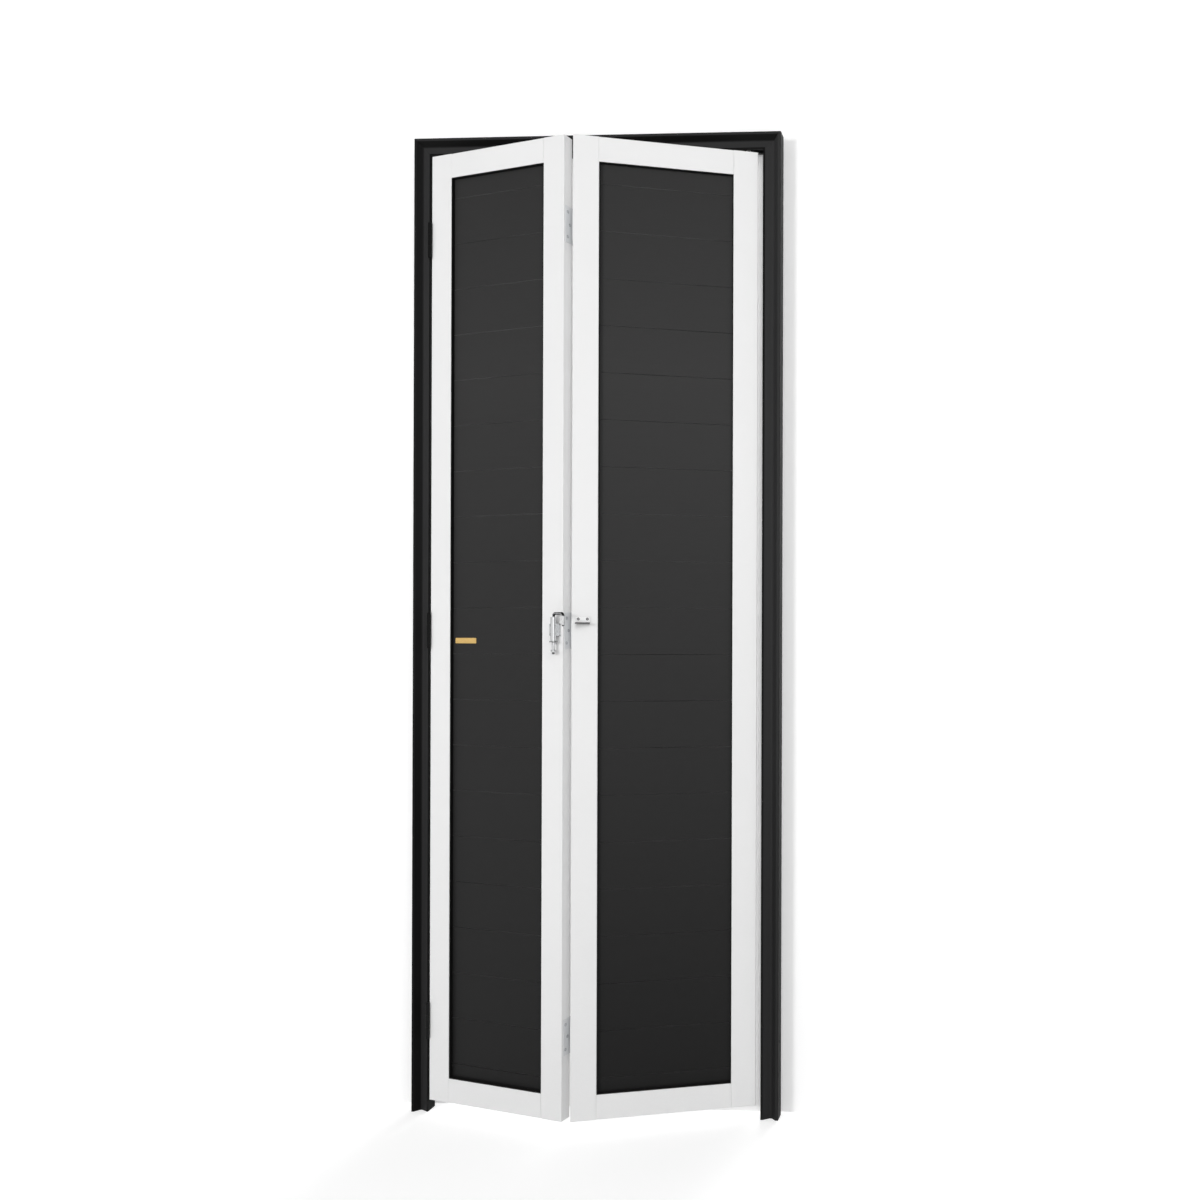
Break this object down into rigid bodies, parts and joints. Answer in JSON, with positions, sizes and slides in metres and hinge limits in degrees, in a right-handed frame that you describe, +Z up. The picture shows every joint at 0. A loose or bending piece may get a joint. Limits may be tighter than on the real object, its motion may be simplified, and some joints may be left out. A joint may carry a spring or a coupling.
{
  "type": "bifold door",
  "caption": "Two-leaf folding door in a moulded charcoal frame: white tube leaves with dark tongued boards, butt hinges, a head track guide and a lift-and-turn rod latch.",
  "frame": {"origin": "middle of the doorway at floor level, in the plane of the wall's face where the casing lies", "axes": "+Z up, +X to the viewer's right across the door, +Y from the viewer through the wall"},
  "size_m": [0.81, 0.1579, 2.13],
  "materials": {
    "charcoal_frame": "satin",
    "charcoal_boards": "matte",
    "white_leaf": "satin",
    "black_bead": "matte",
    "black_hinge": "satin",
    "white_hinge": "satin",
    "white_plug": "matte",
    "black_pin": "satin",
    "nylon": "matte",
    "latch_chrome": "polished",
    "keeper_steel": "brushed",
    "brass": "satin",
    "cleat_alloy": "mill",
    "track_alloy": "mill"
  },
  "bodies": {
    "frame": {"left_jamb": "charcoal_frame", "right_jamb": "charcoal_frame", "head": "charcoal_frame", "frame_cleat_left": "cleat_alloy", "frame_cleat_right": "cleat_alloy", "guide_track": "track_alloy", "jamb_caps": "charcoal_frame", "jamb_hinge_upper_fixed": "black_hinge", "jamb_hinge_upper_pin": "black_hinge", "jamb_hinge_middle_fixed": "black_hinge", "jamb_hinge_middle_pin": "black_hinge", "jamb_hinge_lower_fixed": "black_hinge", "jamb_hinge_lower_pin": "black_hinge"},
    "left_leaf": {"jamb_hinge_upper_moving": "black_hinge", "fold_hinge_upper_left": "white_hinge", "fold_hinge_upper_pin": "white_hinge", "jamb_hinge_middle_moving": "black_hinge", "fold_hinge_middle_left": "white_hinge", "fold_hinge_middle_pin": "white_hinge", "jamb_hinge_lower_moving": "black_hinge", "fold_hinge_lower_left": "white_hinge", "fold_hinge_lower_pin": "white_hinge", "latch_body": "latch_chrome", "left_leaf_outer_stile": "white_leaf", "left_leaf_meeting_stile": "white_leaf", "left_leaf_top_rail": "white_leaf", "left_leaf_bottom_rail": "white_leaf", "left_leaf_boards": "charcoal_boards", "left_leaf_bead": "black_bead", "left_leaf_cleats": "cleat_alloy", "left_leaf_end_plugs": "white_plug"},
    "right_leaf": {"fold_hinge_upper_right": "white_hinge", "fold_hinge_middle_right": "white_hinge", "fold_hinge_lower_right": "white_hinge", "guide_block": "white_plug", "guide_pin": "black_pin", "keeper": "keeper_steel", "right_leaf_outer_stile": "white_leaf", "right_leaf_meeting_stile": "white_leaf", "right_leaf_top_rail": "white_leaf", "right_leaf_bottom_rail": "white_leaf", "right_leaf_boards": "charcoal_boards", "right_leaf_bead": "black_bead", "right_leaf_cleats": "cleat_alloy", "right_leaf_end_plugs": "white_plug"},
    "roller": {"guide_roller": "nylon"},
    "bush": {"latch_bush": "brass"},
    "rod": {"latch_rod": "latch_chrome"}
  },
  "joints": [
    {"name": "left_leaf_hinge", "type": "hinge", "parent": "frame", "child": "left_leaf", "pos_m": [-0.3665, -0.0345, 1.0525], "axis": [0, 0, 1], "range_deg": [-65, 15]},
    {"name": "fold_hinge", "type": "hinge", "parent": "left_leaf", "child": "right_leaf", "pos_m": [-0.02206, -0.09211, 1.0525], "axis": [0, 0, 1], "range_deg": [-30, 130]},
    {"name": "roller_spin", "type": "hinge", "parent": "right_leaf", "child": "roller", "pos_m": [0.33176, -0.01439, 2.0938], "axis": [0, 0, 1], "continuous": true},
    {"name": "latch_lift", "type": "slide", "parent": "left_leaf", "child": "bush", "axis": [0, 0, 1], "range_m": [0, 0.014]},
    {"name": "latch_turn", "type": "hinge", "parent": "bush", "child": "rod", "pos_m": [-0.04886, -0.1253, 1.0875], "axis": [0, 0, 1], "range_deg": [-130, 25]}
  ],
  "couplings": [
    {"joint": "fold_hinge", "follows": "left_leaf_hinge", "ratio": -2}
  ]
}
